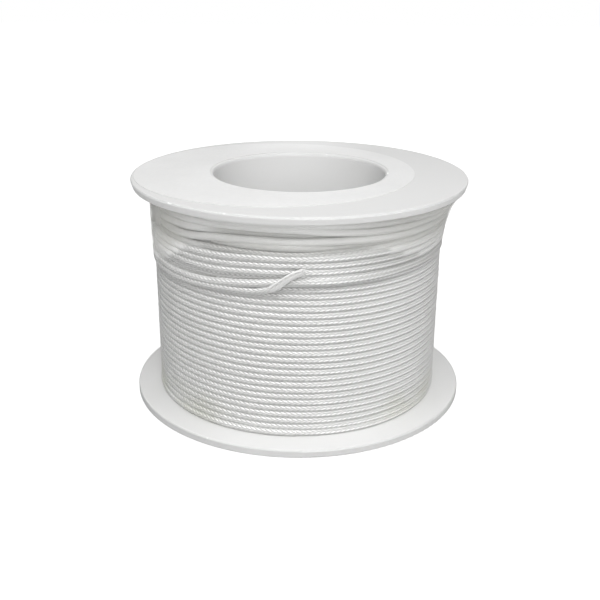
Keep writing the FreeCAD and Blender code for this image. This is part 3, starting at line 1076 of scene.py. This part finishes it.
def addSkin(name, places, count, closed, material):
    # rows of places round the axis, joined into a skin; a closed one also joins each row's two ends
    size = len(places) // count
    faces = []
    for s in range(count):
        a = s * size
        b = ((s + 1) % count) * size
        for i in range(size if closed else size - 1):
            faces.append((a + i, b + i, b + (i + 1) % size, a + (i + 1) % size))
    mesh = bpy.data.meshes.new(name)
    mesh.from_pydata(places, [], faces)
    for face in mesh.polygons:
        face.use_smooth = True
    mesh.materials.append(material)
    return addObject(name, mesh)


# the layers beneath, from the barrel out

innerLayers = {
    "innerRadius": 28.35 * mm,
    "crestRadius": 41.5 * mm,
    "ribDepth": 0.8 * mm,
    "ribPitch": 1.82 * mm,
    "ribSharpness": 1.5,
    "low": 2.7 * mm,
    "high": 64.8 * mm,
    "segments": 180,
    "pointsPerRib": 6,
}


def addInnerLayers(plan):
    ribs = round((plan["high"] - plan["low"]) / plan["ribPitch"])
    pitch = (plan["high"] - plan["low"]) / ribs
    outline = [(plan["innerRadius"], plan["high"]), (plan["innerRadius"], plan["low"])]
    for rib in range(ribs):
        for k in range(plan["pointsPerRib"]):
            share = k / plan["pointsPerRib"]
            hollow = (1 - math.sin(math.pi * share)) ** plan["ribSharpness"]
            radius = plan["crestRadius"] - plan["ribDepth"] * hollow
            outline.append((radius, plan["low"] + pitch * (rib + share)))
    outline.append((plan["crestRadius"] - plan["ribDepth"], plan["high"]))
    places = []
    for s in range(plan["segments"]):
        turn = 2 * math.pi * s / plan["segments"]
        places += [(r * math.cos(turn), r * math.sin(turn), z) for r, z in outline]
    piece = addSkin("innerLayers", places, plan["segments"], True, cordMaterial)
    sides = [(math.cos(math.pi * z / pitch), math.sin(math.pi * z / pitch),
              math.atan2(y, x) * plan["crestRadius"]) for x, y, z in places]
    addColumn(piece.data, "ringPlace", sides, "FLOAT_VECTOR", "vector")
    addColumn(piece.data, "bare", [1.0] * len(places))
    return piece


innerPiece = addInnerLayers(innerLayers)
print("inner layers filled")


# the wrap film round the top turns

wrapFilm = {
    "hug": 1.2 * mm,             # from the cords' centre line out to the film
    "thickness": 0.12 * mm,
    "topHeight": 64.85 * mm,
    "segments": 300,
    "rows": 30,
    "pullDepth": 0.02,           # mm
    "bunchAngle": 205.0,         # the film bunches here, and its pull lines are stronger
    "bunchWidth": 14.0,
    "bunchDepth": 0.06,          # mm
    "haze": 0.04,                # how milky it is everywhere, from 0 to 1
    "rightHaze": 0.04,           # painted sheen and milkiness added to the right
    "rightHighHaze": 0.10,       # and high up there
    "rightFrom": (-75, -25),     # degrees over which the haze comes up on the right,
    "rightUntil": (40, 100),     # and goes again behind
    "leftHaze": 0.30,
    "leftFromFront": (124, 152), # the same on the left, as one goes round by the front
    "leftFromBack": (125, 165),  # and by the back
    "leftLowShare": 0.4,         # the share of that which is left low down
    "highUp": (51, 59),          # mm, from low down to high up
    "edgeFade": 0.30,            # the lower edge fades in over this share of its height
}

# the film's outline to the right, as (height, radius) in mm
flareOutline = [(44, 43.4), (50, 43.4), (52.7, 43.75), (55.2, 44.2), (57.7, 44.85), (60.2, 45.6),
                (62.7, 46.9), (64, 47.7), (66, 49.3)]

# how far it follows that outline, as (angle, share): most to the right, and not at all on the left
flareAround = [(-190, 0.05), (-150, 0.0), (-110, 0.0), (-78, 0.03), (-60, 0.2), (-42, 0.62), (-22, 1.0),
               (20, 1.0), (60, 0.6), (110, 0.25), (170, 0.05)]


def pullLines(plan, angle, height, rise):
    # upright waves, deeper low down and where the film bunches
    turn = math.radians(angle)
    bunch = math.exp(-((angle - plan["bunchAngle"]) / plan["bunchWidth"]) ** 2)
    ripple = math.sin(turn * 37 + 3 * math.sin(turn * 5)) + 0.6 * math.sin(turn * 83 + height / mm * 0.5)
    return (plan["pullDepth"] + plan["bunchDepth"] * bunch) * mm * ripple * (0.4 + 0.6 * (1 - rise))


# haze rises to the right and left: partly the film's own milkiness, partly painted sheen where it turns
# edge-on
def filmHaze(plan, angle, height, rise):
    seenAngle = fromBehind(angle)
    onRight = easeBetween(seenAngle, *plan["rightFrom"])
    onRight *= 1 - easeBetween(seenAngle, *plan["rightUntil"])
    onLeft = easeBetween(-seenAngle, *plan["leftFromFront"])
    onLeft += easeBetween(seenAngle, *plan["leftFromBack"])
    high = easeBetween(height / mm, *plan["highUp"])
    lowShare = plan["leftLowShare"]
    haze = (plan["haze"] + onRight * (plan["rightHaze"] + plan["rightHighHaze"] * high)
            + plan["leftHaze"] * onLeft * (lowShare + (1 - lowShare) * high))
    return min(haze, 1.0) * easeBetween(rise, 0.0, plan["edgeFade"])


def addWrapFilm(plan, layer):
    places = []
    hazes = []
    for s in range(plan["segments"]):
        angle = 360.0 * s / plan["segments"]
        turn = math.radians(angle)
        low = edgeHeight(angle) * mm
        flared = max(smoothAlong(flareAround, fromBehind(angle))[0], 0.0)
        hugging = layerRadius(angle, layer) + plan["hug"]
        for k in range(plan["rows"]):
            rise = k / (plan["rows"] - 1)
            height = low + (plan["topHeight"] - low) * rise
            spreading = smoothAlong(flareOutline, height / mm)[0] * mm
            radius = hugging + (spreading - hugging) * flared + pullLines(plan, angle, height, rise)
            places.append((layer["centreX"] + radius * math.cos(turn), radius * math.sin(turn), height))
            hazes.append(filmHaze(plan, angle, height, rise))
    piece = addSkin("wrapFilm", places, plan["segments"], False, filmMaterial)
    addColumn(piece.data, "haze", hazes)
    shell = piece.modifiers.new("Thickness", "SOLIDIFY")
    shell.thickness = plan["thickness"]
    shell.offset = 1.0
    return piece


filmPiece = addWrapFilm(wrapFilm, upperLayer)
print("wrap film drawn round the top")


# what rides on what, and the solids hidden where these pieces lie

for piece in cordPieces + upperPieces + [innerPiece]:
    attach(piece, "root")
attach(filmPiece, "root")
for piece in cordPieces:
    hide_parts("lower_turns")
for piece in upperPieces:
    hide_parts("upper_turns")
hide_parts("cord_core")
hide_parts("clear_wrap")
